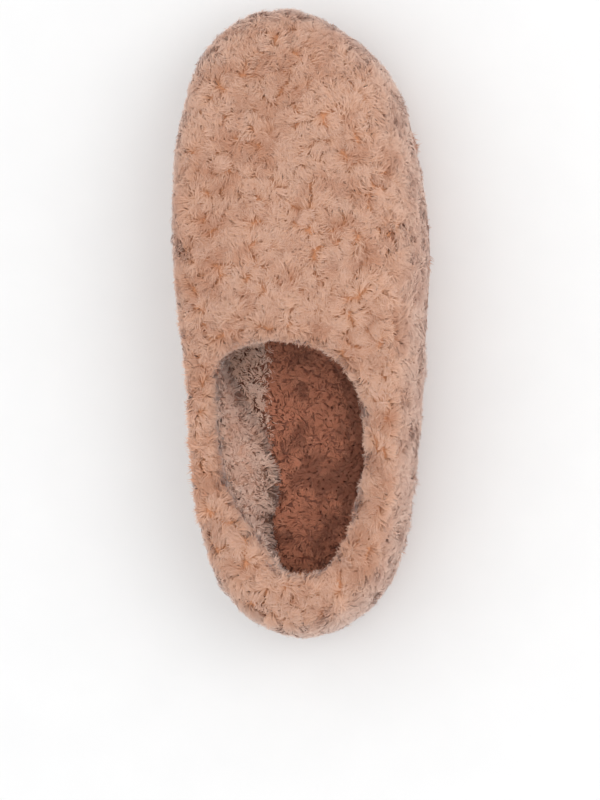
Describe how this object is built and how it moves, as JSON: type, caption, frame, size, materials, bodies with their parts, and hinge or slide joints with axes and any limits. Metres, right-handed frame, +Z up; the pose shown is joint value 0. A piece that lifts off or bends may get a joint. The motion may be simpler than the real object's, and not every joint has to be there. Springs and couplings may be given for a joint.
{
  "type": "house slipper",
  "caption": "Fluffy closed-back house slipper in curly faux shearling, with a rolled fluffy edge around an oval foot opening, furry lining and rubber sole.",
  "frame": {"origin": "on the floor, under the middle of the slipper's box", "axes": "+Z up, +Y to the toe, +X to the outer side of the right foot"},
  "size_m": [0.1088, 0.27, 0.0731],
  "materials": {
    "outer_fur": "curly plush, pink-beige",
    "lining_fur": "short plush, dusty brown",
    "sock_fur": "short plush, dark rose brown",
    "upper_foam": "open-cell foam",
    "gel_cushion": "soft gel foam",
    "fibre_board": "pressed fibre",
    "stiffener": "matte",
    "tape": "woven",
    "thread": "spun thread",
    "eva_foam": "matte, fine-celled",
    "sole_rubber": "matte, moulded"
  },
  "bodies": {
    "root": {"outsole": "sole_rubber", "midsole": "eva_foam", "insole_board": "fibre_board", "board_stitches": "thread", "heel_cushion": "gel_cushion", "footbed_foam": "upper_foam", "footbed_sock": "sock_fur", "vamp_fur": "outer_fur", "quarter_fur_medial": "outer_fur", "quarter_fur_lateral": "outer_fur", "toe_puff": "stiffener", "heel_counter": "stiffener", "vamp_foam": "upper_foam", "quarter_foam_medial": "upper_foam", "quarter_foam_lateral": "upper_foam", "vamp_lining": "lining_fur", "quarter_lining_medial": "lining_fur", "quarter_lining_lateral": "lining_fur", "topline_tape": "tape", "topline_stitches": "thread", "side_seam_stitches": "thread", "back_seam_stitches": "thread"}
  },
  "joints": []
}
